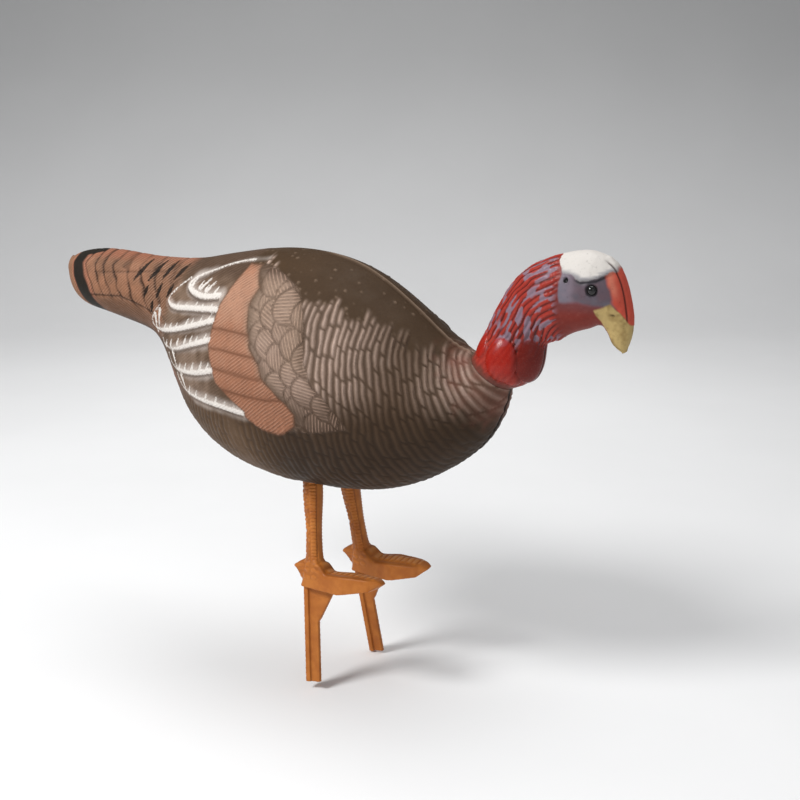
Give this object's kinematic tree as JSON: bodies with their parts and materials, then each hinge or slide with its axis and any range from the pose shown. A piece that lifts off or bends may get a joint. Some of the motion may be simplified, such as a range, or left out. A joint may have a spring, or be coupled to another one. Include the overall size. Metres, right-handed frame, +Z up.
{
  "type": "turkey decoy",
  "caption": "Standing moulded turkey decoy for field use, with a hollow two-half body, a turning plug-in head and pull-out stake legs.",
  "frame": {"origin": "ground level on the middle plane, between the two soles, where the stakes enter the soil", "axes": "+X forward towards the beak, +Y the bird's left, +Z up"},
  "size_m": [0.6979, 0.2154, 0.4827],
  "materials": {
    "body_skin": "airbrushed dark brown feather relief, satin",
    "head_skin": "painted red, blue-grey and white, glossy",
    "leg_plastic": "orange-tan moulded plastic, satin",
    "eye": "polished black",
    "fitting_plastic": "black moulded plastic",
    "bush_rubber": "black rubber",
    "pin_plastic": "natural moulded pins"
  },
  "bodies": {
    "body": {"body_shell_right": "body_skin", "body_shell_left": "body_skin", "body_seam_pins": "pin_plastic", "neck_ring": "fitting_plastic", "leg_socket_right": "fitting_plastic", "leg_socket_left": "fitting_plastic"},
    "neck_swivel": {"neck_collar": "fitting_plastic"},
    "head": {"neck_plug": "fitting_plastic", "neck_o_ring": "bush_rubber", "head_shell_right": "head_skin", "head_shell_left": "head_skin", "head_seam_pins": "pin_plastic", "eye_right": "eye", "eye_left": "eye"},
    "bush_right": {"leg_bush_right": "bush_rubber"},
    "bush_left": {"leg_bush_left": "bush_rubber"},
    "leg_right": {"leg_right": "leg_plastic"},
    "leg_left": {"leg_left": "leg_plastic"}
  },
  "joints": [
    {"name": "head_turn", "type": "hinge", "parent": "body", "child": "neck_swivel", "pos_m": [0.193, 0, 0.251], "axis": [0.6018, 0, 0.7986], "range_deg": [-40, 40]},
    {"name": "head_pull_off", "type": "slide", "parent": "neck_swivel", "child": "head", "axis": [0.6018, 0, 0.7986], "range_m": [0, 0.04]},
    {"name": "right_leg_turn", "type": "hinge", "parent": "body", "child": "bush_right", "pos_m": [-0.00767, -0.02353, 0.14155], "axis": [-0.1045, 0.1384, 0.9848], "range_deg": [-20, 20]},
    {"name": "right_leg_pull_out", "type": "slide", "parent": "bush_right", "child": "leg_right", "axis": [0.1045, -0.1384, -0.9848], "range_m": [0, 0.045]},
    {"name": "left_leg_turn", "type": "hinge", "parent": "body", "child": "bush_left", "pos_m": [0.00178, 0.02214, 0.1454], "axis": [-0.1045, -0.1384, 0.9848], "range_deg": [-20, 20]},
    {"name": "left_leg_pull_out", "type": "slide", "parent": "bush_left", "child": "leg_left", "axis": [0.1045, 0.1384, -0.9848], "range_m": [-0.0055, 0.039]}
  ]
}
